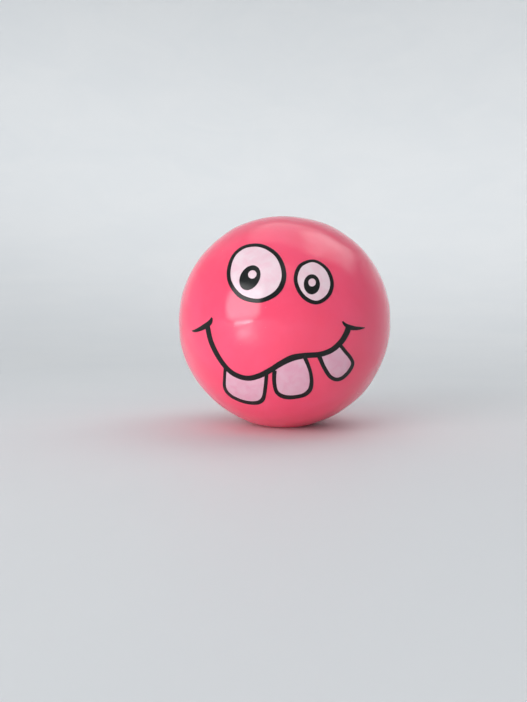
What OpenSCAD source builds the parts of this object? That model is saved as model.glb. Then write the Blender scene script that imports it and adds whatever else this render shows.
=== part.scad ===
// Squeeze ball: a glossy soft skin, filled with dough, closed by a stopper in its base, and
// printed in front with a comic face in white and black ink.
// Millimetres, +Z up. The origin is the centre of the small flat that the ball stands on.
// The face looks along -Y. Left and right are the viewer's.

/* [Ball] */
// Diameter of the ball
ball_d = 60; // [50:1:70]
// Thickness of the skin
skin_wall = 2.2; // [1.6:0.1:3]
// Radius of the flat that the ball stands on
flat_r = 7; // [6:0.5:9]

/* [Filling port and stopper] */
// Diameter of the hole that the ball is filled through
port_d = 4; // [3:0.5:5]
// Height of the collar inside the skin that the hole runs through
collar_h = 4.2; // [3.6:0.2:5]
// Thickness of the collar's wall around the hole, at the collar's top
collar_wall = 3.4; // [2.5:0.1:4]
// Extra radius of the collar at its base
collar_flare = 1.6; // [1:0.1:2]
// Diameter of the stopper's head
head_d = 7.6; // [6.5:0.1:8.5]
// Thickness of the stopper's head
head_t = 1.1; // [0.8:0.1:1.6]
// Depth of the head's face below the flat
head_sink = 0.2; // [0.1:0.1:0.4]
// Height of the barb that holds the stopper from inside
barb_h = 2.4; // [1.5:0.1:3]
// Reach of the barb beyond the hole's wall
barb_reach = 0.9; // [0.5:0.1:1.2]
// Diameter of the barb's tip
barb_tip_d = 3; // [2:0.5:3.5]

/* [Printed face] */
// Thickness of one layer of ink
ink_t = 0.08; // [0.05:0.01:0.15]
// Straight steps between two knots of a drawn line
line_steps = 5; // [3:1:8]

/* [Hidden] */
$fn = 96;

ball_r = ball_d / 2;
centre_z = sqrt(ball_r * ball_r - flat_r * flat_r);
cavity_r = ball_r - skin_wall;
port_r = port_d / 2;
head_r = head_d / 2;
seat_z = head_sink + head_t;
collar_top_r = port_r + collar_wall;
collar_base_r = collar_top_r + collar_flare;
barb_tip_r = barb_tip_d / 2;

// The face is drawn flat, on the plane through the ball's centre, for a ball of this diameter
drawing_d = 60;
drawing_scale = ball_d / drawing_d;

// Drawn lines: every knot is [x, z, width of the line there]
left_eye = [
    [-11.75, 13.3, 1.1], [-11, 17.1, 1.0], [-8.7, 19.4, 0.95], [-5.6, 20.05, 0.9], [-2.6, 19.4, 0.95],
    [0.4, 17.3, 1.0], [2.1, 14.4, 1.1], [2.55, 11.2, 1.2], [1.4, 8.3, 1.3], [-1.1, 6.45, 1.15],
    [-4.2, 5.8, 1.05], [-8.1, 6.95, 1.1], [-10.9, 10, 1.05]
];
right_eye = [
    [5.45, 11.5, 0.95], [6.4, 14.4, 0.95], [8.9, 15.75, 0.75], [11.1, 15.25, 0.75], [13.2, 13.3, 0.85],
    [14.25, 10.3, 0.9], [13.7, 7.6, 0.95], [12, 5.85, 0.95], [10.1, 5.4, 0.95], [7.8, 6.5, 1.0], [6.1, 8.8, 0.95]
];
mouth = [
    [-17.3, -0.35, 1.5], [-16.35, -4.4, 1.45], [-14.4, -8.3, 1.4], [-11.9, -11.5, 1.35], [-9.3, -13.1, 1.35],
    [-6.5, -13.6, 1.35], [-3.6, -12.85, 1.4], [-0.5, -11.2, 1.4], [2, -9.6, 1.45], [4.9, -8.2, 1.6],
    [8, -7.65, 1.4], [11.5, -7.4, 1.35], [14.3, -6.4, 1.35], [16.5, -4.5, 1.4], [17.8, -2.5, 1.4],
    [18.5, -0.6, 1.5]
];
left_cheek = [
    [-22.4, -1.95, 0.2], [-21.2, -1.85, 0.75], [-19.5, -1.3, 1.15], [-17.6, -0.4, 1.4], [-16.4, 0.5, 1.2],
    [-15.9, 1.6, 0.5]
];
right_cheek = [
    [16.9, 0.7, 0.35], [17.6, -0.1, 0.8], [18.8, -0.8, 1.2], [20.2, -1.05, 0.95], [21.4, -1.05, 0.7],
    [22.5, -0.95, 0.2]
];
left_tooth = [
    [-12.6, -11.2, 0.9], [-13.1, -14, 0.9], [-13.4, -16.2, 1.0], [-13, -17.7, 1.05], [-11.8, -18.95, 1.05],
    [-10, -19.8, 1.05], [-8.3, -20.3, 1.05], [-6.2, -20.5, 1.1], [-4.4, -20.2, 1.15], [-3.3, -19.3, 1.1],
    [-2.75, -18, 0.95], [-2.2, -15.5, 0.95], [-1.7, -12.2, 0.95]
];
middle_tooth = [
    [0.3, -11.4, 1.1], [0.1, -13.9, 1.05], [0.2, -15.8, 1.0], [0.6, -17.2, 1.05], [1.7, -18.2, 1.2],
    [3.4, -18.6, 1.2], [5.6, -18.45, 1.1], [7.6, -17.8, 1.15], [8.9, -16.4, 1.1], [9.3, -14.3, 0.95],
    [9.1, -12, 0.85], [8.6, -10.2, 0.9], [7.8, -8.1, 1.0]
];
right_tooth = [
    [11.3, -7.9, 1.1], [12.2, -10.2, 1.0], [13.1, -12, 1.0], [14, -13.3, 1.0], [15.3, -14.05, 1.05],
    [16.7, -13.85, 1.05], [18.1, -12.7, 1.0], [19.15, -11.2, 0.95], [19.5, -9.8, 0.85], [18.7, -8.2, 0.9],
    [17.6, -6.8, 0.9], [16.4, -5.2, 0.9]
];

// Ovals: [x, z, half width, half height, tilt towards the left in degrees]
left_pupil_oval = [-5.95, 11.55, 2.55, 3.25, -27];
left_glint_oval = [-5.35, 12.35, 1.1, 1.05, 0];
right_pupil_oval = [9.4, 9.85, 1.95, 2.5, 3];
right_glint_oval = [9.45, 10.3, 0.9, 1.0, 0];

// Knot i of a line. A closed line runs round again, and an open one stops at its ends.
function knot(line, closed, i) =
    closed ? line[(i + len(line)) % len(line)] : line[max(0, min(len(line) - 1, i))];

// Point at t, from 0 to 1, between b and c on a smooth curve through a, b, c and d
function between(a, b, c, d, t) =
    0.5 * (2 * b + (c - a) * t + (2 * a - 5 * b + 4 * c - d) * t * t + (3 * b - a - 3 * c + d) * t * t * t);

// The line's knots with line_steps steps from each to the next
function smooth(line, closed = false) = [
    for (i = [0 : len(line) - (closed ? 1 : 2)])
        for (s = [0 : line_steps - 1])
            between(knot(line, closed, i - 1), knot(line, closed, i), knot(line, closed, i + 1),
                knot(line, closed, i + 2), s / line_steps),
    if (!closed) line[len(line) - 1]
];

// The line's edge, half its width to one side
function edge(points, closed, side) = [
    for (i = [0 : len(points) - 1])
        let (
            run = knot(points, closed, i + 1) - knot(points, closed, i - 1),
            across = [-run[1], run[0]] / norm([run[0], run[1]])
        )
        [points[i][0], points[i][1]] + side * points[i][2] / 2 * across
];

function middle(points) = [for (p = points) [p[0], p[1]]];

function backwards(points) = [for (i = [len(points) - 1 : -1 : 0]) points[i]];

module drawn_line(line) {
    points = smooth(line);
    polygon(concat(edge(points, false, 1), backwards(edge(points, false, -1))));
}

module drawn_loop(line) {
    points = smooth(line, true);
    difference() {
        polygon(edge(points, true, 1));
        polygon(edge(points, true, -1));
    }
}

module oval(o) {
    translate([o[0], o[1]])
        rotate(o[4])
            polygon([for (a = [0 : 10 : 350]) [o[2] * cos(a), o[3] * sin(a)]]);
}

module ball(r) {
    translate([0, 0, centre_z]) sphere(r = r);
}

// The flat drawing, printed on the ball's front between two heights above the skin
module print_on_ball(low, high) {
    intersection() {
        translate([0, 0, centre_z])
            rotate([90, 0, 0])
                linear_extrude(height = ball_r + 1)
                    scale(drawing_scale)
                        children();
        difference() {
            ball(ball_r + high);
            ball(ball_r + low);
        }
    }
}

// White goes on the skin first
module white_print() {
    print_on_ball(0, ink_t) children();
}

// Black lies over the white's edge and on the skin beside it. Its second child is that white.
module black_print() {
    difference() {
        print_on_ball(0, 2 * ink_t) children(0);
        children(1);
    }
}

// Black that lies on the white alone
module black_on_white() {
    print_on_ball(ink_t, 2 * ink_t) children();
}

// A tooth reaches up to the middle of the mouth's line, from its own line's middle
module tooth_area(line) {
    top = [for (p = smooth(mouth)) if (p[0] > line[0][0] && p[0] < line[len(line) - 1][0]) p];
    polygon(concat(middle(smooth(line)), backwards(middle(top))));
}

module collar() {
    cylinder(r1 = collar_base_r, r2 = collar_top_r, h = collar_h);
}

module cavity() {
    difference() {
        ball(cavity_r);
        collar();
    }
}

// Everything under the flat
module below_flat() {
    translate([-ball_r, -ball_r, -ball_d]) cube([ball_d, ball_d, ball_d]);
}

module skin() {
    color([0.99, 0.36, 0.48])
        difference() {
            ball(ball_r);
            below_flat();
            cavity();
            translate([0, 0, -1]) cylinder(r = head_r, h = seat_z + 1);
            cylinder(r = port_r, h = collar_h + 1);
        }
}

module filling() {
    color([0.96, 0.9, 0.78])
        difference() {
            cavity();
            plug_shape();
        }
}

module plug_shape() {
    rotate_extrude()
        polygon([
            [0, head_sink], [head_r, head_sink], [head_r, seat_z], [port_r, seat_z],
            [port_r, collar_h], [port_r + barb_reach, collar_h],
            [barb_tip_r, collar_h + barb_h], [0, collar_h + barb_h]
        ]);
}

module plug() {
    color([0.95, 0.45, 0.54]) plug_shape();
}

module left_eye_white() {
    color([0.95, 0.88, 0.91]) white_print() polygon(middle(smooth(left_eye, true)));
}

module right_eye_white() {
    color([0.95, 0.88, 0.91]) white_print() polygon(middle(smooth(right_eye, true)));
}

module left_tooth_white() {
    color([0.92, 0.8, 0.86]) white_print() tooth_area(left_tooth);
}

module middle_tooth_white() {
    color([0.92, 0.8, 0.86]) white_print() tooth_area(middle_tooth);
}

module right_tooth_white() {
    color([0.92, 0.8, 0.86]) white_print() tooth_area(right_tooth);
}

module left_eye_outline() {
    color([0.12, 0.14, 0.14])
        black_print() {
            drawn_loop(left_eye);
            left_eye_white();
        }
}

module right_eye_outline() {
    color([0.12, 0.14, 0.14])
        black_print() {
            drawn_loop(right_eye);
            right_eye_white();
        }
}

module left_pupil() {
    color([0.12, 0.14, 0.14])
        black_on_white()
            difference() {
                oval(left_pupil_oval);
                oval(left_glint_oval);
            }
}

module right_pupil() {
    color([0.12, 0.14, 0.14])
        black_on_white()
            difference() {
                oval(right_pupil_oval);
                oval(right_glint_oval);
            }
}

module mouth_line() {
    color([0.12, 0.14, 0.14])
        black_print() {
            union() {
                for (line = [mouth, left_cheek, right_cheek, left_tooth, middle_tooth, right_tooth])
                    drawn_line(line);
            }
            union() {
                left_tooth_white();
                middle_tooth_white();
                right_tooth_white();
            }
        }
}

skin();
filling();
plug();
left_eye_white();
right_eye_white();
left_tooth_white();
middle_tooth_white();
right_tooth_white();
left_eye_outline();
right_eye_outline();
left_pupil();
right_pupil();
mouth_line();
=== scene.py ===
import math

import bmesh
import bpy
import numpy as np
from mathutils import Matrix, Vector
from mathutils.geometry import delaunay_2d_cdt


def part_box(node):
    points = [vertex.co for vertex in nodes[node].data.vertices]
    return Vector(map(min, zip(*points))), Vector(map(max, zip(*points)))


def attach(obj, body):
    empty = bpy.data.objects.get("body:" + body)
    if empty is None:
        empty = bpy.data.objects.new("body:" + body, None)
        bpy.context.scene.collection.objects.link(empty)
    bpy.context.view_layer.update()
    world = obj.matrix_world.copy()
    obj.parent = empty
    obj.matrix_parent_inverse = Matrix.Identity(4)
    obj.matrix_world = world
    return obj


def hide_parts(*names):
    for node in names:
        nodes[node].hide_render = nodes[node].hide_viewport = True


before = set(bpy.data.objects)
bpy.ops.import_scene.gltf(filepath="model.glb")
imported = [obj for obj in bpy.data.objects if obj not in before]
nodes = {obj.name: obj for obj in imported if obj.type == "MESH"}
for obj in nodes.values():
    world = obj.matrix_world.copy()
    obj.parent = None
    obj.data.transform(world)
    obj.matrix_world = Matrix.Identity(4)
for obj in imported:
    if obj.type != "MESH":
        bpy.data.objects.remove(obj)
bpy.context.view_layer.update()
mm = 0.001

# the ball's place comes from the skin's box: a sphere that stands on a small flat
skinLow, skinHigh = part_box("skin")
ballRadius = (skinHigh[0] - skinLow[0]) / 2
ballCentre = Vector((0, 0, skinHigh[2] - ballRadius))
plugLow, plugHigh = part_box("plug")
cavityLow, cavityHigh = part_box("filling")
cavityRadius = (cavityHigh[0] - cavityLow[0]) / 2
print("frame: ball radius", round(ballRadius / mm, 2), "mm, centre at", round(ballCentre.z / mm, 2), "mm")


# the camera looks from a little to the right of the face's own front
cameraLook = {
    "azimuth": 5.5,         # degrees round from the front, towards the viewer's right
    "elevation": 1.0,
    "distance": 0.201,
    "lens": 36.0,
    "clipStart": 0.005,
    "aimLeft": 5.9 * mm,    # the ball sits a little right of the view's middle
    "aimDown": 8.2 * mm,    # and a little above it
}


def around(azimuth, elevation, distance):
    # a place at a distance from the ball's centre, seen from its front and its equator
    a, e = math.radians(azimuth), math.radians(elevation)
    outward = Vector((math.sin(a) * math.cos(e), -math.cos(a) * math.cos(e), math.sin(e)))
    return ballCentre + outward * distance


def aimAt(thing, target):
    thing.rotation_euler = (target - thing.location).to_track_quat("-Z", "Y").to_euler()


def makeCamera():
    data = bpy.data.cameras.new("camera")
    camera = bpy.data.objects.new("camera", data)
    bpy.context.scene.collection.objects.link(camera)
    data.lens = cameraLook["lens"]
    data.clip_start = cameraLook["clipStart"]
    camera.location = around(cameraLook["azimuth"], cameraLook["elevation"], cameraLook["distance"])
    inward = (ballCentre - camera.location).normalized()
    right = inward.cross(Vector((0, 0, 1))).normalized()
    up = right.cross(inward)
    aimAt(camera, ballCentre - right * cameraLook["aimLeft"] - up * cameraLook["aimDown"])
    bpy.context.scene.camera = camera


# the ball's outer surface is a true sphere plus these small heights
surfaceLook = {
    "seed": 4,
    # soft unevenness: (wavelength, height) of each family of swells
    "swells": [(24 * mm, 0.08 * mm), (11 * mm, 0.045 * mm), (5.5 * mm, 0.018 * mm), (3 * mm, 0.003 * mm)],
    "swellsEach": 9,
    "partingHeight": 0.022 * mm,    # the fine line where the mould's halves met
    "partingHalfWidth": 0.16 * mm,
    "calmBelow": 24,                # degrees from straight down within which the swells fade out
    "calmWithin": 0.6,              # the share of that angle that stays quite even
}


def swellTable():
    # a row for each swell: its direction and rate in three numbers, its phase and its height
    dice = np.random.RandomState(surfaceLook["seed"])
    rows = []
    for length, height in surfaceLook["swells"]:
        for _ in range(surfaceLook["swellsEach"]):
            way = dice.normal(size=3)
            way *= 2 * math.pi * ballRadius / length / np.linalg.norm(way)
            rows.append((*way, dice.uniform(0, 2 * math.pi), height / math.sqrt(surfaceLook["swellsEach"])))
    return np.array(rows)


swells = swellTable()


def surfaceHeight(directions):
    # height over the true sphere, for directions from the ball's centre
    waves = np.sin(directions @ swells[:, :3].T + swells[:, 3]) @ swells[:, 4]
    fromBottom = np.degrees(np.arccos(np.clip(-directions[:, 2], -1, 1)))
    even = surfaceLook["calmBelow"] * surfaceLook["calmWithin"]
    calm = np.clip((fromBottom - even) / (surfaceLook["calmBelow"] - even), 0, 1)
    calm = calm * calm * (3 - 2 * calm)
    offLine = directions[:, 1] * ballRadius / surfaceLook["partingHalfWidth"]
    ridge = surfaceLook["partingHeight"] * np.exp(-offLine ** 2)
    return (waves + ridge) * calm


# closed shells turned about the upright axis, with an even grid of quads over the poles
gridLook = {
    "cellsAcross": 80,      # quads across the cap, from the left to the right
    "capAngle": 45,         # degrees from the pole to the cap's edge
    # extra grid lines beside the parting line, as distances from it
    "extraLines": [0.1 * mm, 0.22 * mm, 0.36 * mm],
}


def capAxes():
    # the cap's grid lines, from -1 to 1 across and in depth
    across = np.linspace(-1, 1, gridLook["cellsAcross"] + 1)
    perUnit = ballRadius * math.radians(gridLook["capAngle"])
    extra = np.array(gridLook["extraLines"]) / perUnit
    deep = np.unique(np.concatenate([across, extra, -extra]))
    return across, deep


def capAngles(a, b):
    # how far out of the middle, and which way round, for a point of the square grid
    out = np.maximum(np.abs(a), np.abs(b))
    safe = np.where(out == 0, 1, out)
    sideways = np.abs(a) >= np.abs(b)
    turn = np.where(sideways, math.pi / 4 * b / safe, math.pi / 2 - math.pi / 4 * a / safe)
    turn = np.where(sideways & (a < 0), math.pi - math.pi / 4 * b / safe, turn)
    turn = np.where(~sideways & (b < 0), -math.pi / 2 + math.pi / 4 * a / safe, turn)
    return out, turn


def ringOrder(columns, rows):
    # the cap's rim, once round from the middle of its right side's lower end
    rim = [(columns - 1, j) for j in range(rows)]
    rim += [(i, rows - 1) for i in range(columns - 2, -1, -1)]
    rim += [(0, j) for j in range(rows - 2, -1, -1)]
    rim += [(i, 0) for i in range(1, columns - 1)]
    return rim


def turnedShell(name, profile, innerRadius):
    # the shell starts with a cap of the uneven outer surface, follows the profile of (radius, z, uneven)
    # from the cap's rim down outside and up again inside, and ends with an inner cap
    across, deep = capAxes()
    columns, rows = len(across), len(deep)
    a, b = np.meshgrid(across, deep, indexing="ij")
    out, turn = capAngles(a, b)
    lean = out * math.radians(gridLook["capAngle"])
    directions = np.stack([np.sin(lean) * np.cos(turn), np.sin(lean) * np.sin(turn), np.cos(lean)], -1)
    directions = directions.reshape(-1, 3)
    rim = ringOrder(columns, rows)
    ringTurn = np.array([turn[i, j] for i, j in rim])
    rimIndex = np.array([i * rows + j for i, j in rim])
    count = len(rim)
    cells = [(i, j) for i in range(columns - 1) for j in range(rows - 1)]

    centre = np.array(ballCentre)
    points = [directions * (ballRadius + surfaceHeight(directions))[:, None] + centre]
    faces = [(i * rows + j, (i + 1) * rows + j, (i + 1) * rows + j + 1, i * rows + j + 1) for i, j in cells]
    total = columns * rows
    last = rimIndex
    for radius, z, uneven in profile:
        ring = np.stack([radius * np.cos(ringTurn), radius * np.sin(ringTurn), np.full(count, z)], -1)
        if uneven:
            outward = (ring - centre) / np.linalg.norm(ring - centre, axis=1)[:, None]
            ring = centre + outward * (ballRadius + surfaceHeight(outward))[:, None]
        index = np.arange(total, total + count)
        nextLast, nextIndex = np.roll(last, -1), np.roll(index, -1)
        faces += list(zip(last.tolist(), index.tolist(), nextIndex.tolist(), nextLast.tolist()))
        points.append(ring)
        total += count
        last = index

    # the inner cap's rim is the profile's last ring
    points.append(directions * innerRadius + centre)
    onRim = {int(r): int(k) for r, k in zip(rimIndex, last)}
    place = [onRim.get(k, total + k) for k in range(columns * rows)]
    for i, j in cells:
        quad = (i * rows + j, i * rows + j + 1, (i + 1) * rows + j + 1, (i + 1) * rows + j)
        faces.append(tuple(place[k] for k in quad))
    return meshPiece(name, np.concatenate(points), faces)


def meshPiece(name, points, faces):
    # points that no face uses are dropped, and every face looks outwards
    mesh = bpy.data.meshes.new(name)
    mesh.from_pydata([tuple(p) for p in points], [], faces)
    work = bmesh.new()
    work.from_mesh(mesh)
    bmesh.ops.delete(work, geom=[v for v in work.verts if not v.link_faces], context="VERTS")
    bmesh.ops.recalc_face_normals(work, faces=work.faces)
    openEdges = sum(1 for e in work.edges if len(e.link_faces) != 2)
    work.to_mesh(mesh)
    work.free()
    mesh.shade_smooth()
    piece = bpy.data.objects.new(name, mesh)
    bpy.context.scene.collection.objects.link(piece)
    print("piece:", name, len(mesh.polygons), "faces, open edges", openEdges)
    return piece


def arcPoints(centreR, centreZ, radius, start, end, steps):
    # points on a circle in the turning profile, angles in degrees from straight out, upwards
    return [(centreR + radius * math.cos(math.radians(t)), centreZ + radius * math.sin(math.radians(t)))
            for t in np.linspace(start, end, steps)]


def straight(start, end, steps):
    # points on a straight part of the profile, without its start
    return [(start[0] + (end[0] - start[0]) * t, start[1] + (end[1] - start[1]) * t)
            for t in np.linspace(0, 1, steps + 1)[1:]]


skinLook = {
    "ringStep": 0.6 * mm,       # from one ring of quads to the next outside
    "innerRingStep": 1.6 * mm,
    "baseRounding": 3.0 * mm,   # where the sphere turns into the flat
    "lipRounding": 0.3 * mm,    # round the stopper's recess
    "seatRounding": 0.1 * mm,   # in the recess's corner and at the port's lower edge
    "portRadius": 2.0 * mm,
    "portTopRounding": 0.2 * mm,
    "collarTop": 4.2 * mm,
    "collarTopRadius": 5.4 * mm,
    "collarTopRounding": 0.5 * mm,
    "collarBaseRadius": 7.0 * mm,
}


def makeSkin():
    look = skinLook
    r, z = ballRadius, ballCentre.z
    cap = math.radians(gridLook["capAngle"])
    rounding = look["baseRounding"]
    reach = math.sqrt((r - rounding) ** 2 - (z - rounding) ** 2)
    baseLean = math.pi - math.asin(reach / (r - rounding))
    rings = round((baseLean - cap) * r / look["ringStep"])
    leans = np.linspace(cap, baseLean, rings + 1)[1:]
    outside = [(r * math.sin(t), z + r * math.cos(t), True) for t in leans]
    # round the edge of the flat, then inwards to the recess's lip
    edgeTurn = math.degrees(baseLean) - 90
    path = arcPoints(reach, rounding, rounding, -edgeTurn, -90, 5)[1:]
    recess, seat = plugHigh[0], plugLow[2] + plugLook["headThickness"]
    lip, small = look["lipRounding"], look["seatRounding"]
    path += straight(path[-1], (recess + lip, 0), 5)
    path += arcPoints(recess + lip, lip, lip, 270, 180, 5)[1:]
    # up the recess's side, across the seat and up the port
    path += straight(path[-1], (recess, seat - small), 2)
    path += arcPoints(recess - small, seat - small, small, 0, 90, 3)[1:]
    port = look["portRadius"]
    path += straight(path[-1], (port + small, seat), 3)
    path += arcPoints(port + small, seat + small, small, 270, 180, 3)[1:]
    # over the collar's top
    collarTop, inside, outer = look["collarTop"], look["portTopRounding"], look["collarTopRounding"]
    path += straight(path[-1], (port, collarTop - inside), 4)
    path += arcPoints(port + inside, collarTop - inside, inside, 180, 90, 4)[1:]
    path += straight(path[-1], (look["collarTopRadius"] - outer, collarTop), 4)
    path += arcPoints(look["collarTopRadius"] - outer, collarTop - outer, outer, 90, 20, 5)[1:]
    # down the collar's side to the inside of the sphere
    inner = cavityRadius
    footRadius = collarFoot()
    foot = (footRadius, z - math.sqrt(inner ** 2 - footRadius ** 2))
    path += straight(path[-1], foot, 3)
    footLean = math.pi - math.asin(footRadius / inner)
    innerRings = round((footLean - cap) * inner / look["innerRingStep"])
    leans = np.linspace(footLean, cap, innerRings + 1)[1:]
    path += [(inner * math.sin(t), z + inner * math.cos(t)) for t in leans]
    profile = outside + [(radius, height, False) for radius, height in path]
    piece = turnedShell("ballSkin", profile, inner)
    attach(piece, "root")
    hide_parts("skin")
    return piece


def collarFoot():
    # the radius at which the collar's sloping side meets the sphere inside
    look = skinLook
    radius = look["collarTopRadius"]
    for _ in range(20):     # each round comes nearer, and 20 are plenty
        height = ballCentre.z - math.sqrt(cavityRadius ** 2 - radius ** 2)
        share = height / look["collarTop"]
        radius = look["collarBaseRadius"] + (look["collarTopRadius"] - look["collarBaseRadius"]) * share
    return radius


plugLook = {
    "headThickness": 1.1 * mm,
    "headRounding": 0.25 * mm,
    "dimpleDepth": 0.12 * mm,       # the gate mark in the middle of the head
    "dimpleRadius": 0.7 * mm,
    "underRounding": 0.08 * mm,     # of the corners under the head
    "stemRadius": 2.0 * mm,
    "stemEase": 0.05 * mm,          # where the stem turns out into the barb
    "barbRadius": 2.9 * mm,
    "barbEase": (0.15 * mm, 0.2 * mm),      # of the barb's edge, across and up
    "barbTipRadius": 1.5 * mm,
    "tipEase": (0.2 * mm, 0.03 * mm),       # under the tip's edge and over it
    "tipFlatShare": 0.6,            # of the tip that is flat
    "segments": 96,
    "gap": 0.03 * mm,               # between the head and its recess
}


def turnedSolid(name, profile, segments):
    # profile: (radius, z) from one end on the axis to the other end on the axis
    points, faces = [(0, 0, profile[0][1])], []
    turns = np.linspace(0, 2 * math.pi, segments, endpoint=False)
    for radius, z in profile[1:-1]:
        points += [(radius * math.cos(t), radius * math.sin(t), z) for t in turns]
    points.append((0, 0, profile[-1][1]))
    rings = len(profile) - 2
    for k in range(segments):
        nextK = (k + 1) % segments
        faces.append((0, 1 + nextK, 1 + k))
        for ring in range(rings - 1):
            a = 1 + ring * segments
            faces.append((a + k, a + nextK, a + segments + nextK, a + segments + k))
        a = 1 + (rings - 1) * segments
        faces.append((a + k, a + nextK, len(points) - 1))
    return meshPiece(name, points, faces)


def makePlug():
    look = plugLook
    face, top = plugLow[2], plugHigh[2]
    head, seat = plugHigh[0] - look["gap"], face + look["headThickness"]
    rim, under = look["headRounding"], look["underRounding"]
    dimple = [(look["dimpleRadius"] * t, face + look["dimpleDepth"] * (1 + math.cos(math.pi * t)) / 2)
              for t in np.linspace(0, 1, 8)]
    path = dimple + straight(dimple[-1], (head - rim, face), 4)
    path += arcPoints(head - rim, face + rim, rim, 270, 360, 6)[1:]
    path += straight(path[-1], (head, seat - under), 2) + [(head - under, seat)]
    stem = look["stemRadius"] - look["gap"]
    path += straight(path[-1], (stem + under, seat), 3) + [(stem, seat + under)]
    # through the port, and the barb over the collar
    collar, ease = skinLook["collarTop"], look["stemEase"]
    barb, (easeAcross, easeUp) = look["barbRadius"], look["barbEase"]
    path += straight(path[-1], (stem, collar - ease), 4)
    path += [(stem + ease, collar + look["gap"]), (barb - easeAcross, collar + look["gap"])]
    path += [(barb, collar + easeUp)]
    tip, (easeUnder, easeOver) = look["barbTipRadius"], look["tipEase"]
    path += straight(path[-1], (tip + easeUnder, top - easeUnder), 4)
    path += [(tip, top - easeOver), (tip * look["tipFlatShare"], top), (0, top)]
    piece = turnedSolid("stopper", path, look["segments"])
    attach(piece, "root")
    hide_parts("plug")
    return piece


fillingLook = {
    "gap": 0.04 * mm,           # so that it doesn't lie in the skin's own surface
    "ringStep": 1.6 * mm,
    "foldDepth": 0.25 * mm,     # kneaded hollows, always inwards
    "folds": (7, 3, 5, 6, 2),   # how many there are and how they wander
    "skinBand": 0.05 * mm,      # what lies this near the sphere is folded
    "footRoom": 0.4 * mm,       # round the collar's foot
    "collarRoom": 0.3 * mm,     # round the collar's top
    "segments": 128,
}


def makeFilling():
    look = fillingLook
    z, r = ballCentre.z, cavityRadius - look["gap"]
    collar, barbTop = skinLook["collarTop"] + look["gap"], plugHigh[2] + look["gap"]
    foot = collarFoot() + look["footRoom"]
    footLean = math.pi - math.asin(foot / r)
    rings = round(footLean * r / look["ringStep"])
    path = [(r * math.sin(t), z + r * math.cos(t)) for t in np.linspace(0, footLean, rings + 1)]
    path[0] = (0, path[0][1])
    path += straight(path[-1], (skinLook["collarTopRadius"] + look["collarRoom"], collar), 3)
    barb = plugLook["barbRadius"] + 2 * look["gap"]
    path += straight(path[-1], (barb, collar), 3)
    path += straight(path[-1], (plugLook["barbTipRadius"] + 4 * look["gap"], barbTop), 4)
    path += [(0, barbTop)]
    piece = turnedSolid("doughFilling", path, look["segments"])
    many, wander, often, deep, slant = look["folds"]
    for vertex in piece.data.vertices:
        out = vertex.co - ballCentre
        if out.length > r - look["skinBand"]:
            way = out.normalized()
            fold = math.sin(many * way.x + wander * math.sin(often * way.z))
            fold = abs(fold * math.sin(deep * way.y + slant * way.z))
            vertex.co = ballCentre + way * (r - look["foldDepth"] * fold)
    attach(piece, "root")
    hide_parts("filling")
    return piece


# printed ink: each island keeps the outline of its own node in the frame, and lies on the uneven skin
inkLook = {
    "whiteTop": 0.05 * mm,      # height over the skin
    "blackTop": 0.1 * mm,
    "under": 0.01 * mm,         # how far a film's back is sunk in what it lies on
    "edgeInset": 0.06 * mm,     # width of the film's soft edge
    "edgeShare": 0.45,          # height at the very edge, as a share of the film's own
    "meshStep": 0.34 * mm,
    "rowShare": 0.866,          # from one row of the mesh to the next, as a share of its step
    "innerRoom": 0.6,           # least distance of the soft edge's inner points, as a share of its width
    "gridRoom": 0.45,           # least distance of the mesh from them, as a share of its step
    "outlineStep": 0.17 * mm,
    "cornerTurn": 32,           # degrees: a sharper turn than this stays a corner
    "straightTurn": 0.8,        # degrees: a smaller turn than this is part of a straight run
    "topBand": 0.02 * mm,       # faces this near the outermost point belong to the island's top
    "sameSpot": 0.0005 * mm,    # corners nearer than this are one
}


def openSides(faces):
    # the sides that only one face has
    sides = {}
    for face in faces:
        for a, b in zip(face, face[1:] + face[:1]):
            if sides.pop((b, a), None) is None:
                sides[(a, b)] = True
    return list(sides)


def topOutlines(nodeName):
    # the loops round the outermost faces of a printed node, as (x, z) from the ball's centre
    mesh = nodes[nodeName].data
    spots, index, place = {}, [], []
    for vertex in mesh.vertices:
        key = tuple(round(c / inkLook["sameSpot"]) for c in vertex.co)
        if key not in spots:
            spots[key] = len(place)
            place.append(None)
        index.append(spots[key])
        place[index[-1]] = vertex.co - ballCentre
    reach = [p.length for p in place]
    top = max(reach) - inkLook["topBand"]
    faces = [[index[v] for v in face.vertices] for face in mesh.polygons]
    faces = [face for face in faces if len(set(face)) >= 3 and min(reach[k] for k in face) >= top]
    follow = dict(openSides(faces))
    loops = []
    while follow:
        start, b = follow.popitem()
        loop = [start]
        while b != start:
            loop.append(b)
            b = follow.pop(b)
        loops.append(np.array([(place[i].x, place[i].z) for i in loop]))
    return loops


def smoothOutline(loop):
    # the frame's outline is made of short straight steps: draw it again as curves between its corners
    look = inkLook
    back, ahead = loop - np.roll(loop, 1, 0), np.roll(loop, -1, 0) - loop
    turn = np.degrees(np.arctan2(back[:, 0] * ahead[:, 1] - back[:, 1] * ahead[:, 0], (back * ahead).sum(1)))
    keep = np.abs(turn) > look["straightTurn"]
    knots, turn = loop[keep], turn[keep]
    corner = np.abs(turn) > look["cornerTurn"]
    count = len(knots)
    points = []
    for i in range(count):
        a, b, c, d = (knots[(i + k) % count] for k in (-1, 0, 1, 2))
        a = b if corner[i] else a
        d = c if corner[(i + 1) % count] else d
        steps = max(1, round(np.linalg.norm(c - b) / look["outlineStep"]))
        for t in np.arange(steps) / steps:
            points.append(0.5 * (2 * b + (c - a) * t + (2 * a - 5 * b + 4 * c - d) * t ** 2
                                 + (3 * b - a - 3 * c + d) * t ** 3))
    return np.array(points)


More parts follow.
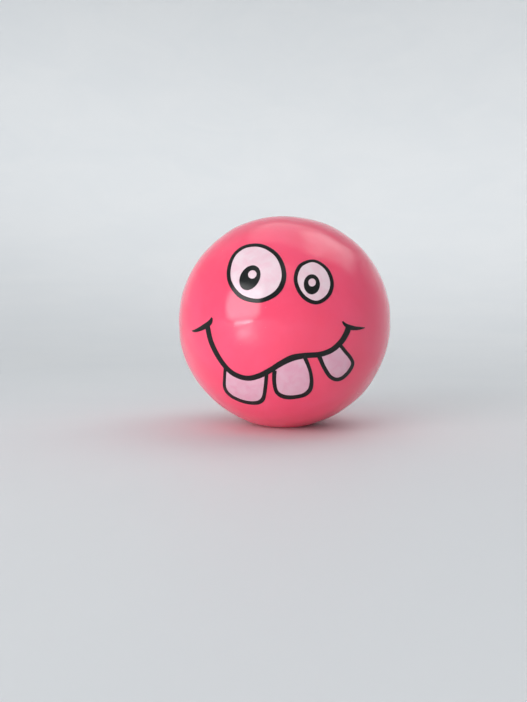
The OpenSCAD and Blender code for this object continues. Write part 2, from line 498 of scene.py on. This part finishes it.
def insideOf(points, loops):
    # even-odd rule over every loop
    crossed = np.zeros(len(points), bool)
    for loop in loops:
        ahead = np.roll(loop, -1, 0)
        for (ax, az), (bx, bz) in zip(loop, ahead):
            spans = (az > points[:, 1]) != (bz > points[:, 1])
            if spans.any():
                across = ax + (points[:, 1] - az) / (bz - az if bz != az else 1) * (bx - ax)
                crossed ^= spans & (points[:, 0] < across)
    return crossed


def clearOf(points, loops, distance):
    # the points further than a distance from every loop, found a batch at a time to save memory
    edge = np.concatenate(loops)
    batch = 2000
    far = [np.zeros(0, bool)]
    for start in range(0, len(points), batch):
        part = points[start:start + batch]
        far.append(np.linalg.norm(part[:, None] - edge[None], axis=2).min(1) > distance)
    return points[np.concatenate(far)]


def insetPoints(loop, loops):
    # a row of points just inside a loop, one soft edge's width from it
    back = loop - np.roll(loop, 1, 0)
    ahead = np.roll(loop, -1, 0) - loop
    run = back / np.linalg.norm(back, axis=1)[:, None] + ahead / np.linalg.norm(ahead, axis=1)[:, None]
    across = np.stack([-run[:, 1], run[:, 0]], 1)
    across /= np.linalg.norm(across, axis=1)[:, None]
    moved = loop + across * inkLook["edgeInset"]
    inward = insideOf(moved, loops)
    other = loop - across * inkLook["edgeInset"]
    moved[~inward] = other[~inward]
    return moved[insideOf(moved, loops)]


def onBall(flat, height):
    # lift points of the flat drawing to a height over the uneven skin, straight back along the view
    radius = np.full(len(flat), ballRadius)
    for _ in range(3):      # the height depends a little on where the point ends up
        depth = -np.sqrt(radius ** 2 - (flat ** 2).sum(1))
        way = np.stack([flat[:, 0], depth, flat[:, 1]], 1) / radius[:, None]
        radius = ballRadius + surfaceHeight(way) + height
    depth = -np.sqrt(radius ** 2 - (flat ** 2).sum(1))
    return np.stack([flat[:, 0], depth, flat[:, 1]], 1) + np.array(ballCentre)


def creaseBetween(mesh, zones):
    # faces of different zones shade apart from each other
    beside = {}
    for face, zone in zip(mesh.polygons, zones):
        for key in face.edge_keys:
            beside.setdefault(key, set()).add(zone)
    for edge in mesh.edges:
        edge.use_edge_sharp = len(beside[tuple(sorted(edge.vertices))]) > 1


def fillOutline(loops):
    # an even mesh within the loops: its flat points, its triangles and which of its points are on a loop
    look = inkLook
    rim = np.concatenate(loops)
    inner = np.concatenate([insetPoints(loop, loops) for loop in loops])
    inner = clearOf(inner, loops, look["edgeInset"] * look["innerRoom"])
    low, high = rim.min(0), rim.max(0)
    step = look["meshStep"]
    rows = np.arange(low[1], high[1], step * look["rowShare"])
    grid = [(x + (k % 2) * step / 2, z) for k, z in enumerate(rows) for x in np.arange(low[0], high[0], step)]
    grid = np.array(grid)
    grid = clearOf(grid[insideOf(grid, loops)], loops, look["edgeInset"] + step * look["gridRoom"])
    flat = np.concatenate([rim, inner, grid])
    edges, start = [], 0
    for loop in loops:
        edges += [(start + i, start + (i + 1) % len(loop)) for i in range(len(loop))]
        start += len(loop)
    verts, _, tris, sources, _, _ = delaunay_2d_cdt([Vector(p / mm) for p in flat], edges, [], 0, 1e-6)
    flat = np.array([tuple(v) for v in verts]) * mm
    middle = np.array([flat[list(t)].mean(0) for t in tris])
    tris = [tuple(t) for t, keep in zip(tris, insideOf(middle, loops)) if keep]
    isRim = np.array([any(k < len(rim) for k in source) for source in sources])
    return flat, tris, isRim


def layInk(name, nodeName, under, top):
    flat, tris, isRim = fillOutline([smoothOutline(loop) for loop in topOutlines(nodeName)])
    height = np.where(isRim, under + (top - under) * inkLook["edgeShare"], top)
    upper, lower = onBall(flat, height), onBall(flat, under)
    count = len(flat)
    faces = tris + [tuple(count + k for k in reversed(t)) for t in tris]
    faces += [(b, a, count + a, count + b) for a, b in openSides(tris)]
    piece = meshPiece(name, np.concatenate([upper, lower]), faces)
    # zones: the film's top, its soft edge, and its sides and back
    zones = [1 if isRim[list(t)].any() else 0 for t in tris] + [2] * (len(faces) - len(tris))
    creaseBetween(piece.data, zones)
    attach(piece, "root")
    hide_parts(nodeName)
    return piece


# effects that several materials share are node groups, which give out only colours, values and normals
def newGroup(name, inputs, outputs):
    group = bpy.data.node_groups.new(name, "ShaderNodeTree")
    for label, kind, value in inputs:
        socket = group.interface.new_socket(name=label, in_out="INPUT", socket_type=kind)
        socket.default_value = value
    for label, kind in outputs:
        group.interface.new_socket(name=label, in_out="OUTPUT", socket_type=kind)
    return group, group.nodes.new("NodeGroupInput"), group.nodes.new("NodeGroupOutput")


def addNode(tree, kind, links=(), **values):
    # links: input name or number to the socket that feeds it. Values set inputs or the node's own settings.
    node = tree.nodes.new(kind)
    for key, value in values.items():
        if key in node.inputs:
            node.inputs[key].default_value = value
        else:
            setattr(node, key, value)
    for key, source in dict(links).items():
        tree.links.new(source, node.inputs[key])
    return node


def mathNode(tree, operation, a, b=None, c=None, clamp=False):
    node = tree.nodes.new("ShaderNodeMath")
    node.operation = operation
    node.use_clamp = clamp
    for socket, value in zip(node.inputs, (a, b, c)):
        if isinstance(value, (int, float)):
            socket.default_value = value
        elif value is not None:
            tree.links.new(value, socket)
    return node.outputs[0]


def mixColours(tree, factor, first, second):
    # in a Mix node that mixes colours they are inputs 6 and 7, and the mixed colour is output 2
    node = addNode(tree, "ShaderNodeMix", {"Factor": factor}, data_type="RGBA")
    for socket, colour in ((node.inputs[6], first), (node.inputs[7], second)):
        if isinstance(colour, tuple):
            socket.default_value = colour
        else:
            tree.links.new(colour, socket)
    return node.outputs[2]


def spread(tree, value, low, high, toLow=0.0, toHigh=1.0):
    # spread the values from low to high smoothly over a new range
    node = addNode(tree, "ShaderNodeMapRange", {"Value": value})
    node.interpolation_type = "SMOOTHSTEP"
    for key, number in zip(("From Min", "From Max", "To Min", "To Max"), (low, high, toLow, toHigh)):
        node.inputs[key].default_value = number
    return node.outputs["Result"]


marksLook = {
    "smudgeSize": 55.0, "smudgeFrom": 0.46, "smudgeTo": 0.68,
    "dustSize": 620.0,
    "dustAbove": 0.93,          # only cells whose chance is above this hold a speck
    "speckLeast": 0.03,         # a speck's size, as a share of its cell, and what chance adds to it
    "speckMore": 0.09,
    "dustTint": 0.6,            # how far a speck takes on the dust's colour
    "dustRoughness": 0.4,       # and how much it adds to the roughness
}


def makeHandlingGroup():
    look = marksLook
    group, given, out = newGroup(
        "handlingMarks",
        [("Smudge Size", "NodeSocketFloat", look["smudgeSize"]),
         ("Dust Size", "NodeSocketFloat", look["dustSize"])],
        [("Smudge", "NodeSocketFloat"), ("Dust", "NodeSocketFloat")])
    where = addNode(group, "ShaderNodeTexCoord").outputs["Object"]
    broad = addNode(group, "ShaderNodeTexNoise", {"Vector": where, "Scale": given.outputs["Smudge Size"]},
                    Detail=4.0, Roughness=0.62, Distortion=0.8)
    smudge = spread(group, broad.outputs["Fac"], look["smudgeFrom"], look["smudgeTo"])
    specks = addNode(group, "ShaderNodeTexVoronoi", {"Vector": where, "Scale": given.outputs["Dust Size"]},
                     Randomness=1.0)
    chance = addNode(group, "ShaderNodeSeparateColor", {"Color": specks.outputs["Color"]})
    few = mathNode(group, "GREATER_THAN", chance.outputs["Red"], look["dustAbove"])
    size = mathNode(group, "MULTIPLY_ADD", chance.outputs["Green"], look["speckMore"], look["speckLeast"])
    away = mathNode(group, "DIVIDE", specks.outputs["Distance"], size)
    near = mathNode(group, "SUBTRACT", 1.0, away, clamp=True)
    dust = mathNode(group, "MULTIPLY", near, few)
    group.links.new(smudge, out.inputs["Smudge"])
    group.links.new(dust, out.inputs["Dust"])
    return group


def makeGrainGroup():
    group, given, out = newGroup(
        "fineGrain",
        [("Ripple Size", "NodeSocketFloat", 260.0), ("Ripple Height", "NodeSocketFloat", 0.00001),
         ("Pore Size", "NodeSocketFloat", 2400.0), ("Pore Height", "NodeSocketFloat", 0.000002)],
        [("Normal", "NodeSocketVector")])
    where = addNode(group, "ShaderNodeTexCoord").outputs["Object"]
    ripple = addNode(group, "ShaderNodeTexNoise", {"Vector": where, "Scale": given.outputs["Ripple Size"]},
                     Detail=1.0, Roughness=0.4, Distortion=0.4)
    pores = addNode(group, "ShaderNodeTexNoise", {"Vector": where, "Scale": given.outputs["Pore Size"]},
                    Detail=2.0, Roughness=0.5)
    first = addNode(group, "ShaderNodeBump", {
        "Height": ripple.outputs["Fac"],
        "Distance": given.outputs["Ripple Height"],
    })
    second = addNode(group, "ShaderNodeBump", {
        "Height": pores.outputs["Fac"],
        "Distance": given.outputs["Pore Height"],
        "Normal": first.outputs["Normal"],
    })
    group.links.new(second.outputs["Normal"], out.inputs["Normal"])
    return group


mottleLook = {"from": 0.3, "to": 0.72}      # the noise values between which one colour turns into the other


def makeMottleGroup():
    group, given, out = newGroup(
        "pigmentMottle",
        [("First", "NodeSocketColor", (1, 1, 1, 1)), ("Second", "NodeSocketColor", (0, 0, 0, 1)),
         ("Size", "NodeSocketFloat", 90.0)],
        [("Color", "NodeSocketColor")])
    where = addNode(group, "ShaderNodeTexCoord").outputs["Object"]
    broad = addNode(group, "ShaderNodeTexNoise", {"Vector": where, "Scale": given.outputs["Size"]},
                    Detail=5.0, Roughness=0.6, Distortion=0.6)
    patches = spread(group, broad.outputs["Fac"], mottleLook["from"], mottleLook["to"])
    colour = mixColours(group, patches, given.outputs["First"], given.outputs["Second"])
    group.links.new(colour, out.inputs["Color"])
    return group


handlingMarks = makeHandlingGroup()
fineGrain = makeGrainGroup()
pigmentMottle = makeMottleGroup()


def placeGroup(tree, group, **values):
    node = tree.nodes.new("ShaderNodeGroup")
    node.node_tree = group
    for key, value in values.items():
        node.inputs[key].default_value = value
    return node


skinFinish = {
    "colour": (0.98, 0.088, 0.19, 1), "deeper": (0.95, 0.07, 0.155, 1), "mottleSize": 45.0,
    "roughness": 0.11, "smudgedRoughness": 0.2, "dustColour": (0.98, 0.55, 0.6, 1),
    "rippleSize": 210.0, "rippleHeight": 0.02 * mm, "poreSize": 2600.0, "poreHeight": 0.0012 * mm,
    "specular": 0.55, "subsurface": 0.22, "subsurfaceRadius": (1.0, 0.22, 0.3), "subsurfaceScale": 1.6 * mm,
    "coat": 0.25, "coatRoughness": 0.04,
}
stopperFinish = dict(skinFinish, colour=(0.86, 0.075, 0.14, 1), deeper=(0.75, 0.05, 0.1, 1), roughness=0.34,
                     smudgedRoughness=0.5, poreHeight=0.006 * mm, coat=0.0)
doughFinish = {
    "colour": (0.86, 0.77, 0.58, 1), "deeper": (0.76, 0.64, 0.44, 1), "mottleSize": 120.0,
    "roughness": 0.55, "smudgedRoughness": 0.7, "dustColour": (0.95, 0.93, 0.86, 1),
    "rippleSize": 300.0, "rippleHeight": 0.08 * mm, "poreSize": 1500.0, "poreHeight": 0.03 * mm,
    "specular": 0.4, "subsurface": 0.2, "subsurfaceRadius": (1.0, 0.7, 0.4), "subsurfaceScale": 1.5 * mm,
    "coat": 0.0, "coatRoughness": 0.1,
}
eyeWhiteFinish = {
    "colour": (0.84, 0.66, 0.715, 1), "deeper": (0.83, 0.55, 0.63, 1), "mottleSize": 330.0,
    "roughness": 0.13, "smudgedRoughness": 0.22, "dustColour": (0.8, 0.74, 0.76, 1),
    "rippleSize": 230.0, "rippleHeight": 0.012 * mm, "poreSize": 3200.0, "poreHeight": 0.0018 * mm,
    "specular": 0.5, "subsurface": 0.0, "subsurfaceRadius": (1.0, 0.5, 0.5), "subsurfaceScale": 0.4 * mm,
    "coat": 0.2, "coatRoughness": 0.05,
}
# the teeth's ink: the same white printed thinner, so more pink shows through, and also darker overall as
# painted shade for where the teeth sit low on the face
thinToothInkPaintedShadeFinish = dict(eyeWhiteFinish, colour=(0.77, 0.455, 0.56, 1), deeper=(0.76, 0.36, 0.48, 1))
blackFinish = dict(eyeWhiteFinish, colour=(0.005, 0.007, 0.007, 1), deeper=(0.008, 0.009, 0.009, 1),
                   dustColour=(0.3, 0.24, 0.25, 1), roughness=0.16, smudgedRoughness=0.28,
                   specular=0.3, coat=0.05)


def finishMaterial(name, look):
    material = bpy.data.materials.new(name)
    material.use_nodes = True
    tree = material.node_tree
    tree.nodes.clear()
    out = tree.nodes.new("ShaderNodeOutputMaterial")
    shader = tree.nodes.new("ShaderNodeBsdfPrincipled")
    tree.links.new(shader.outputs["BSDF"], out.inputs["Surface"])
    marks = placeGroup(tree, handlingMarks)
    mottle = placeGroup(tree, pigmentMottle, First=look["colour"], Second=look["deeper"],
                        Size=look["mottleSize"])
    grain = placeGroup(tree, fineGrain)
    for label, key in (("Ripple Size", "rippleSize"), ("Ripple Height", "rippleHeight"),
                       ("Pore Size", "poreSize"), ("Pore Height", "poreHeight")):
        grain.inputs[label].default_value = look[key]
    tint = mathNode(tree, "MULTIPLY", marks.outputs["Dust"], marksLook["dustTint"])
    colour = mixColours(tree, tint, mottle.outputs["Color"], look["dustColour"])
    dustRough = mathNode(tree, "MULTIPLY", marks.outputs["Dust"], marksLook["dustRoughness"])
    rough = spread(tree, marks.outputs["Smudge"], 0, 1, look["roughness"], look["smudgedRoughness"])
    rough = mathNode(tree, "ADD", rough, dustRough, clamp=True)
    tree.links.new(colour, shader.inputs["Base Color"])
    tree.links.new(rough, shader.inputs["Roughness"])
    tree.links.new(grain.outputs["Normal"], shader.inputs["Normal"])
    shader.inputs["Specular IOR Level"].default_value = look["specular"]
    shader.inputs["Subsurface Weight"].default_value = look["subsurface"]
    shader.inputs["Subsurface Radius"].default_value = look["subsurfaceRadius"]
    shader.inputs["Subsurface Scale"].default_value = look["subsurfaceScale"]
    shader.inputs["Coat Weight"].default_value = look["coat"]
    shader.inputs["Coat Roughness"].default_value = look["coatRoughness"]
    return material


def wear(piece, material):
    piece.data.materials.clear()
    piece.data.materials.append(material)


# a pale floor that curves up into a wall all round
stageLook = {
    "flat": 0.35, "curve": 1.5, "wallTop": 1.52, "segments": 128,
    "rings": (0, 0.15, 0.4, 0.7, 1),    # of the flat, as shares of its radius
    "curveRings": 24,
    "colour": (0.775, 0.79, 0.8, 1), "shade": (0.75, 0.77, 0.785, 1), "mottleSize": 6.0,
    "roughness": 0.62,
}


def makeStage():
    look = stageLook
    path = [(look["flat"] * t, 0) for t in look["rings"]]
    path += [(look["flat"] + look["curve"] * math.sin(t), look["curve"] * (1 - math.cos(t)))
             for t in np.linspace(0, math.pi / 2, look["curveRings"])[1:]]
    path += [(look["flat"] + look["curve"], look["wallTop"])]
    turns = np.linspace(0, 2 * math.pi, look["segments"], endpoint=False)
    points = [(0, 0, 0)] + [(r * math.cos(t), r * math.sin(t), z) for r, z in path[1:] for t in turns]
    count, faces = look["segments"], []
    for k in range(count):
        n = (k + 1) % count
        faces.append((0, 1 + k, 1 + n))
        for ring in range(len(path) - 2):
            a = 1 + ring * count
            faces.append((a + k, a + count + k, a + count + n, a + n))
    mesh = bpy.data.meshes.new("floor")
    mesh.from_pydata(points, [], faces)
    mesh.shade_smooth()
    floor = bpy.data.objects.new("floor", mesh)
    bpy.context.scene.collection.objects.link(floor)
    material = bpy.data.materials.new("palePaper")
    material.use_nodes = True
    tree = material.node_tree
    shader = tree.nodes["Principled BSDF"]
    mottle = placeGroup(tree, pigmentMottle, First=look["colour"], Second=look["shade"],
                        Size=look["mottleSize"])
    tree.links.new(mottle.outputs["Color"], shader.inputs["Base Color"])
    shader.inputs["Roughness"].default_value = look["roughness"]
    wear(floor, material)


lightLook = {
    # azimuth and elevation round the ball, distance, width, height, radiance,
    # the soft edge's share, and the point it aims at
    "softboxes": {
        "window": (-35, -8, 0.60, 0.25, 0.25, 8.2, 0.3, ballCentre),
        "windowGlow": (-37, 20, 0.66, 0.50, 0.46, 3.5, 0.35, ballCentre),
        "ceiling": (165, 70, 1.0, 1.2, 0.9, 0.6, 0.4, ballCentre),
        "topRight": (120, 55, 1.0, 0.8, 0.8, 1.05, 0.5, ballCentre),
        "frontTop": (-12, 54, 0.90, 0.8, 0.45, 0.7, 0.6, ballCentre),
        "backdrop": (180, 50, 1.2, 2.4, 1.0, 1.3, 0.5, Vector((0, 1.8, 0.3))),
    },
    "onBallOnly": ["window"],       # it shines from so low that the floor would block it
    "world": 0.49,
    "worldColour": (0.94, 0.97, 1.0, 1),
}


def softEdges(data, share):
    # full strength in the middle, fading out towards the light's edges
    data.use_nodes = True
    tree = data.node_tree
    place = addNode(tree, "ShaderNodeNewGeometry")
    where = addNode(tree, "ShaderNodeSeparateXYZ", {"Vector": place.outputs["Parametric"]})
    fromEdge = [mathNode(tree, "PINGPONG", where.outputs[axis], 0.5) for axis in "XY"]
    sides = [spread(tree, edge, 0, share / 2) for edge in fromEdge]
    tree.links.new(mathNode(tree, "MULTIPLY", *sides), tree.nodes["Emission"].inputs["Strength"])


def makeLights(ballPieces):
    onBall = bpy.data.collections.new("ballPieces")
    for piece in ballPieces:
        onBall.objects.link(piece)
    for name, values in lightLook["softboxes"].items():
        azimuth, elevation, distance, width, height, radiance, share, aim = values
        data = bpy.data.lights.new(name, "AREA")
        data.shape = "RECTANGLE"
        data.size, data.size_y = width, height
        data.energy = radiance * math.pi * width * height
        softEdges(data, share)
        light = bpy.data.objects.new(name, data)
        bpy.context.scene.collection.objects.link(light)
        light.location = around(azimuth, elevation, distance)
        aimAt(light, aim)
        light.visible_camera = False
        if name in lightLook["onBallOnly"]:
            light.light_linking.receiver_collection = onBall
            light.light_linking.blocker_collection = onBall
    world = bpy.data.worlds.new("room")
    bpy.context.scene.world = world
    world.use_nodes = True
    back = world.node_tree.nodes["Background"]
    back.inputs["Color"].default_value = lightLook["worldColour"]
    back.inputs["Strength"].default_value = lightLook["world"]
    bpy.context.scene.view_settings.view_transform = "Standard"


makeCamera()
makeStage()
print("stage: camera and floor")

skin = makeSkin()
wear(skin, finishMaterial("glossySkin", skinFinish))
stopper = makePlug()
wear(stopper, finishMaterial("stopperRubber", stopperFinish))
dough = makeFilling()
wear(dough, finishMaterial("dough", doughFinish))
print("stage: skin, stopper and filling")

# each printed island: its name and node, how far under and over the skin it reaches, its slot and its finish
whiteUnder, whiteTop = -inkLook["under"], inkLook["whiteTop"]
blackUnder, blackTop = whiteTop - inkLook["under"], inkLook["blackTop"]
eyeWhite = finishMaterial("eyeWhiteInk", eyeWhiteFinish)
# the teeth's ink carries painted shade: its colour is darker than the eyes' white
thinToothInkPaintedShade = finishMaterial("thinToothInkPaintedShadeInk", thinToothInkPaintedShadeFinish)
blackInk = finishMaterial("blackInk", blackFinish)
islands = [
    ("leftEyeWhite", "left_eye_white", whiteUnder, whiteTop, "white_ink", eyeWhite),
    ("rightEyeWhite", "right_eye_white", whiteUnder, whiteTop, "white_ink", eyeWhite),
    ("leftToothWhite", "left_tooth_white", whiteUnder, whiteTop, "white_ink", thinToothInkPaintedShade),
    ("middleToothWhite", "middle_tooth_white", whiteUnder, whiteTop, "white_ink", thinToothInkPaintedShade),
    ("rightToothWhite", "right_tooth_white", whiteUnder, whiteTop, "white_ink", thinToothInkPaintedShade),
    ("leftEyeOutline", "left_eye_outline", whiteUnder, blackTop, "black_ink", blackInk),
    ("rightEyeOutline", "right_eye_outline", whiteUnder, blackTop, "black_ink", blackInk),
    ("leftPupil", "left_pupil", blackUnder, blackTop, "black_ink", blackInk),
    ("rightPupil", "right_pupil", blackUnder, blackTop, "black_ink", blackInk),
    ("mouthLine", "mouth_line", whiteUnder, blackTop, "black_ink", blackInk),
]
prints = []
for name, nodeName, under, top, slotName, material in islands:
    prints.append(layInk(name, nodeName, under, top))
    wear(prints[-1], material)
print("stage: ten printed islands")

makeLights([skin, stopper, dough] + prints)
print("stage: lights")
